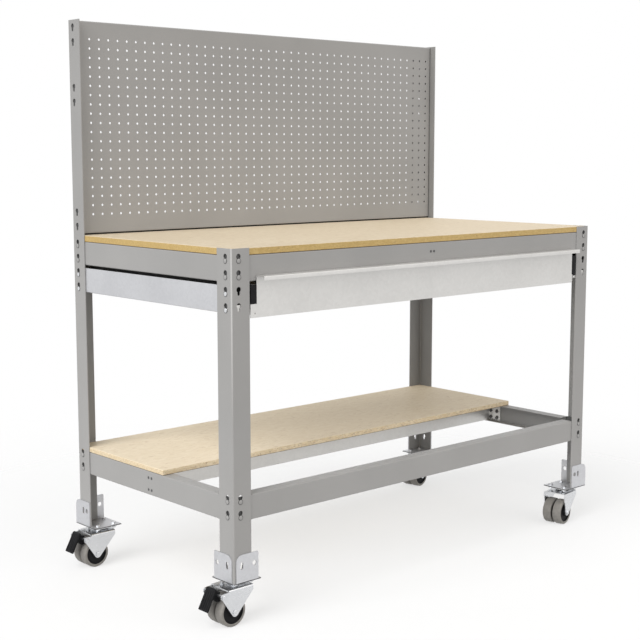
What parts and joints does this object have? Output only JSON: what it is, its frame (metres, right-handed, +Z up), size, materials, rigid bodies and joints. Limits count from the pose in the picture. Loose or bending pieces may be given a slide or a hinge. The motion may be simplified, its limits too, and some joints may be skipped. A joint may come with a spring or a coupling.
{
  "type": "mobile assembly table",
  "caption": "Mobile steel assembly table with a board worktop, perforated tool panel at the back, full-width drawer, half-depth lower shelf and braked twin-wheel castors.",
  "frame": {"origin": "on the floor under the centre of the table's bounding box", "axes": "+X to the right along the front, +Y from the front to the tool panel, +Z up"},
  "size_m": [1.2814, 0.649, 1.311],
  "materials": {
    "painted_steel": "satin grey powder coat",
    "galvanised_steel": "galvanised sheet with soft spangle",
    "particle_board": "sanded particle board, sealed",
    "zinc_steel": "bright zinc plate",
    "black_zinc_steel": "black zinc plate",
    "grey_rubber": "non-marking warm grey tread",
    "black_plastic": "moulded black plastic"
  },
  "bodies": {
    "frame": {"front_left_upright": "painted_steel", "front_left_castor_bracket": "galvanised_steel", "front_left_castor_plate": "zinc_steel", "front_left_castor_kingpin": "zinc_steel", "front_right_upright": "painted_steel", "front_right_castor_bracket": "galvanised_steel", "front_right_castor_plate": "zinc_steel", "front_right_castor_kingpin": "zinc_steel", "rear_right_upright": "painted_steel", "rear_right_castor_bracket": "galvanised_steel", "rear_right_castor_plate": "zinc_steel", "rear_right_castor_kingpin": "zinc_steel", "rear_left_upright": "painted_steel", "rear_left_castor_bracket": "galvanised_steel", "rear_left_castor_plate": "zinc_steel", "rear_left_castor_kingpin": "zinc_steel", "front_upper_beam": "painted_steel", "front_lower_beam": "painted_steel", "right_upper_beam": "painted_steel", "right_lower_beam": "painted_steel", "rear_upper_beam": "painted_steel", "rear_lower_beam": "painted_steel", "left_upper_beam": "painted_steel", "left_lower_beam": "painted_steel", "right_drawer_carrier": "galvanised_steel", "right_slide_outer_rail": "black_zinc_steel", "left_drawer_carrier": "galvanised_steel", "left_slide_outer_rail": "black_zinc_steel", "worktop": "particle_board", "lower_shelf": "particle_board", "worktop_tie": "painted_steel", "shelf_tie": "galvanised_steel", "tool_panel": "painted_steel"},
    "drawer": {"drawer_tray": "galvanised_steel", "drawer_front": "galvanised_steel", "left_slide_inner_rail": "black_zinc_steel", "right_slide_inner_rail": "black_zinc_steel"},
    "left_middle_rail": {"left_slide_middle_rail": "black_zinc_steel"},
    "right_middle_rail": {"right_slide_middle_rail": "black_zinc_steel"},
    "front_left_fork": {"front_left_castor_fork": "zinc_steel", "front_left_castor_axle": "zinc_steel"},
    "front_left_wheel_a": {"front_left_castor_wheel_a": "grey_rubber"},
    "front_left_wheel_b": {"front_left_castor_wheel_b": "grey_rubber"},
    "front_left_pedal": {"front_left_castor_brake_pedal": "black_plastic"},
    "front_right_fork": {"front_right_castor_fork": "zinc_steel", "front_right_castor_axle": "zinc_steel"},
    "front_right_wheel_a": {"front_right_castor_wheel_a": "grey_rubber"},
    "front_right_wheel_b": {"front_right_castor_wheel_b": "grey_rubber"},
    "rear_right_fork": {"rear_right_castor_fork": "zinc_steel", "rear_right_castor_axle": "zinc_steel"},
    "rear_right_wheel_a": {"rear_right_castor_wheel_a": "grey_rubber"},
    "rear_right_wheel_b": {"rear_right_castor_wheel_b": "grey_rubber"},
    "rear_left_fork": {"rear_left_castor_fork": "zinc_steel", "rear_left_castor_axle": "zinc_steel"},
    "rear_left_wheel_a": {"rear_left_castor_wheel_a": "grey_rubber"},
    "rear_left_wheel_b": {"rear_left_castor_wheel_b": "grey_rubber"},
    "rear_left_pedal": {"rear_left_castor_brake_pedal": "black_plastic"}
  },
  "joints": [
    {"name": "drawer_slide", "type": "slide", "parent": "frame", "child": "drawer", "axis": [0, -1, 0], "range_m": [0, 0.4]},
    {"name": "left_rail_slide", "type": "slide", "parent": "frame", "child": "left_middle_rail", "axis": [0, -1, 0], "range_m": [0, 0.2]},
    {"name": "right_rail_slide", "type": "slide", "parent": "frame", "child": "right_middle_rail", "axis": [0, -1, 0], "range_m": [0, 0.2]},
    {"name": "front_left_swivel", "type": "hinge", "parent": "frame", "child": "front_left_fork", "pos_m": [-0.54725, -0.2635, 0.08688], "axis": [0, 0, 1], "continuous": true},
    {"name": "front_left_wheel_a_spin", "type": "hinge", "parent": "front_left_fork", "child": "front_left_wheel_a", "pos_m": [-0.57725, -0.2635, 0.03358], "axis": [0, -1, 0], "continuous": true},
    {"name": "front_left_wheel_b_spin", "type": "hinge", "parent": "front_left_fork", "child": "front_left_wheel_b", "pos_m": [-0.57725, -0.2635, 0.03358], "axis": [0, -1, 0], "continuous": true},
    {"name": "front_left_pedal_press", "type": "hinge", "parent": "front_left_fork", "child": "front_left_pedal", "pos_m": [-0.60725, -0.2635, 0.07358], "axis": [0, -1, 0], "range_deg": [0, 15]},
    {"name": "front_right_swivel", "type": "hinge", "parent": "frame", "child": "front_right_fork", "pos_m": [0.59075, -0.2635, 0.08688], "axis": [0, 0, 1], "continuous": true},
    {"name": "front_right_wheel_a_spin", "type": "hinge", "parent": "front_right_fork", "child": "front_right_wheel_a", "pos_m": [0.56121, -0.26871, 0.03358], "axis": [0.1736, -0.9848, 0], "continuous": true},
    {"name": "front_right_wheel_b_spin", "type": "hinge", "parent": "front_right_fork", "child": "front_right_wheel_b", "pos_m": [0.56121, -0.26871, 0.03358], "axis": [0.1736, -0.9848, 0], "continuous": true},
    {"name": "rear_right_swivel", "type": "hinge", "parent": "frame", "child": "rear_right_fork", "pos_m": [0.59075, 0.2745, 0.08688], "axis": [0, 0, 1], "continuous": true},
    {"name": "rear_right_wheel_a_spin", "type": "hinge", "parent": "rear_right_fork", "child": "rear_right_wheel_a", "pos_m": [0.56121, 0.26929, 0.03358], "axis": [0.1736, -0.9848, 0], "continuous": true},
    {"name": "rear_right_wheel_b_spin", "type": "hinge", "parent": "rear_right_fork", "child": "rear_right_wheel_b", "pos_m": [0.56121, 0.26929, 0.03358], "axis": [0.1736, -0.9848, 0], "continuous": true},
    {"name": "rear_left_swivel", "type": "hinge", "parent": "frame", "child": "rear_left_fork", "pos_m": [-0.54725, 0.2745, 0.08688], "axis": [0, 0, 1], "continuous": true},
    {"name": "rear_left_wheel_a_spin", "type": "hinge", "parent": "rear_left_fork", "child": "rear_left_wheel_a", "pos_m": [-0.57725, 0.2745, 0.03358], "axis": [0, -1, 0], "continuous": true},
    {"name": "rear_left_wheel_b_spin", "type": "hinge", "parent": "rear_left_fork", "child": "rear_left_wheel_b", "pos_m": [-0.57725, 0.2745, 0.03358], "axis": [0, -1, 0], "continuous": true},
    {"name": "rear_left_pedal_press", "type": "hinge", "parent": "rear_left_fork", "child": "rear_left_pedal", "pos_m": [-0.60725, 0.2745, 0.07358], "axis": [0, -1, 0], "range_deg": [0, 15]}
  ],
  "couplings": [
    {"joint": "left_rail_slide", "follows": "drawer_slide", "ratio": 0.5},
    {"joint": "right_rail_slide", "follows": "drawer_slide", "ratio": 0.5}
  ]
}
